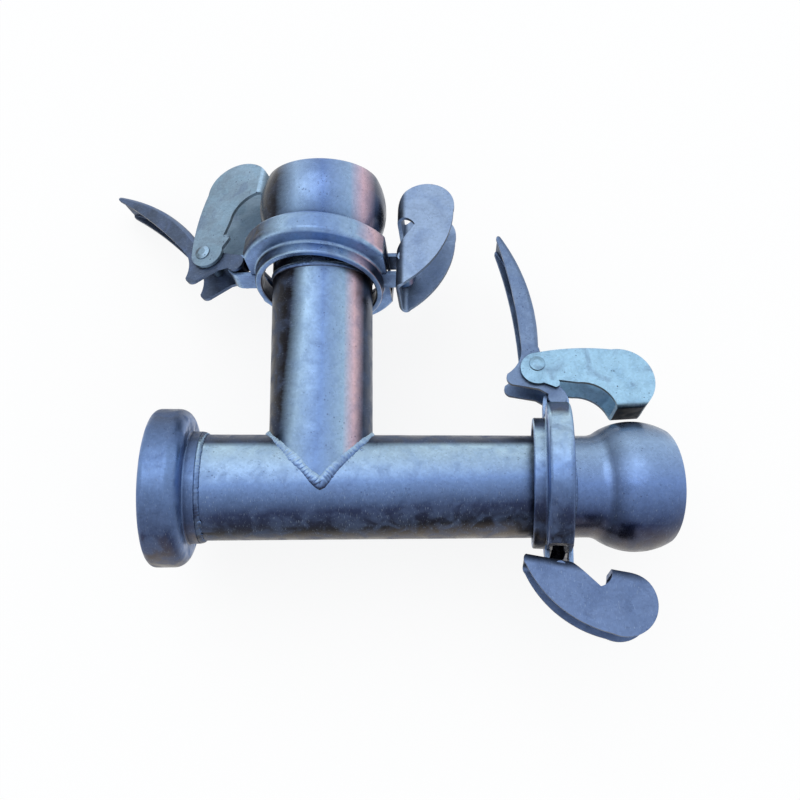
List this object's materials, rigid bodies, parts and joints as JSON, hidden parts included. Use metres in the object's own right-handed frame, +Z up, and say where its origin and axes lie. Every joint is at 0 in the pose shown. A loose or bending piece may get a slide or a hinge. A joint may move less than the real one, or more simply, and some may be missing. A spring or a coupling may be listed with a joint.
{
  "type": "tube tee",
  "caption": "Galvanised quick-coupling tube tee with a flanged socket, two ball ends and loose closure rings that carry a fixed hook and a lever hook.",
  "frame": {"origin": "centre of the socket's mouth, where the run's axis meets the flange's front plane", "axes": "+X along the run from the socket to its ball, +Y along the branch towards its ball, +Z up from the floor that the tee lies on"},
  "size_m": [0.6168, 0.5359, 0.2272],
  "materials": {
    "tube_zinc": "hot-dip galvanised, weathered",
    "ball_zinc": "hot-dip galvanised, smooth pressed",
    "socket_zinc": "hot-dip galvanised, smooth pressed",
    "ring_zinc": "hot-dip galvanised",
    "hook_zinc": "hot-dip galvanised, matt",
    "lever_zinc": "hot-dip galvanised, matt",
    "rivet_zinc": "zinc plated",
    "weld_zinc": "galvanised weld bead",
    "seal_rubber": "black rubber"
  },
  "bodies": {
    "tee": {"run_tube": "tube_zinc", "branch_tube": "tube_zinc", "saddle_weld": "weld_zinc", "socket": "socket_zinc", "socket_weld": "weld_zinc", "socket_seal": "seal_rubber", "run_ball": "ball_zinc", "run_ball_weld": "weld_zinc", "branch_ball": "ball_zinc", "branch_ball_weld": "weld_zinc"},
    "run_ring": {"run_ring": "ring_zinc"},
    "run_hook": {"run_hook": "hook_zinc"},
    "run_lever": {"run_lever": "lever_zinc"},
    "run_rivet": {"run_rivet": "rivet_zinc"},
    "run_catch": {"run_catch": "hook_zinc"},
    "branch_ring": {"branch_ring": "ring_zinc"},
    "branch_hook": {"branch_hook": "hook_zinc"},
    "branch_lever": {"branch_lever": "lever_zinc"},
    "branch_rivet": {"branch_rivet": "rivet_zinc"},
    "branch_catch": {"branch_catch": "hook_zinc"}
  },
  "joints": [
    {"name": "run_ring_swivel", "type": "hinge", "parent": "tee", "child": "run_ring", "pos_m": [0.417, 0, 0], "axis": [1, 0, 0], "continuous": true},
    {"name": "run_hook_pivot", "type": "hinge", "parent": "run_ring", "child": "run_hook", "pos_m": [0.40912, -0.08709, 0.02508], "axis": [0.2079, -0.22, -0.9531], "range_deg": [-13, 21]},
    {"name": "run_lever_pivot", "type": "hinge", "parent": "run_ring", "child": "run_lever", "pos_m": [0.42485, 0.09278, -0.01301], "axis": [-0.1308, 0.2163, 0.9675], "range_deg": [0, 57]},
    {"name": "run_rivet_turn", "type": "hinge", "parent": "run_lever", "child": "run_rivet", "pos_m": [0.40597, 0.1293, -0.02373], "axis": [-0.1308, 0.2163, 0.9675], "range_deg": [-32.7, 0.5]},
    {"name": "run_catch_swing", "type": "hinge", "parent": "run_rivet", "child": "run_catch", "pos_m": [0.40597, 0.1293, -0.02373], "axis": [-0.1308, 0.2163, 0.9675], "range_deg": [0, 60]},
    {"name": "branch_ring_swivel", "type": "hinge", "parent": "tee", "child": "branch_ring", "pos_m": [0.168, 0.24, 0], "axis": [0, 1, 0], "continuous": true},
    {"name": "branch_hook_pivot", "type": "hinge", "parent": "branch_ring", "child": "branch_hook", "pos_m": [0.25692, 0.23212, 0.01591], "axis": [0.1834, -0.2756, -0.9436], "range_deg": [-2, 32]},
    {"name": "branch_lever_pivot", "type": "hinge", "parent": "branch_ring", "child": "branch_lever", "pos_m": [0.07824, 0.23978, -0.02106], "axis": [-0.3505, 0.2787, 0.8941], "range_deg": [0, 85]},
    {"name": "branch_rivet_turn", "type": "hinge", "parent": "branch_lever", "child": "branch_rivet", "pos_m": [0.04256, 0.25377, -0.03941], "axis": [-0.3505, 0.2787, 0.8941], "range_deg": [-60.7, 0.5]},
    {"name": "branch_catch_swing", "type": "hinge", "parent": "branch_rivet", "child": "branch_catch", "pos_m": [0.04256, 0.25377, -0.03941], "axis": [-0.3505, 0.2787, 0.8941], "range_deg": [0, 60]}
  ],
  "couplings": [
    {"joint": "run_rivet_turn", "follows": "run_lever_pivot", "ratio": -0.56491},
    {"joint": "branch_rivet_turn", "follows": "branch_lever_pivot", "ratio": -0.70824}
  ]
}
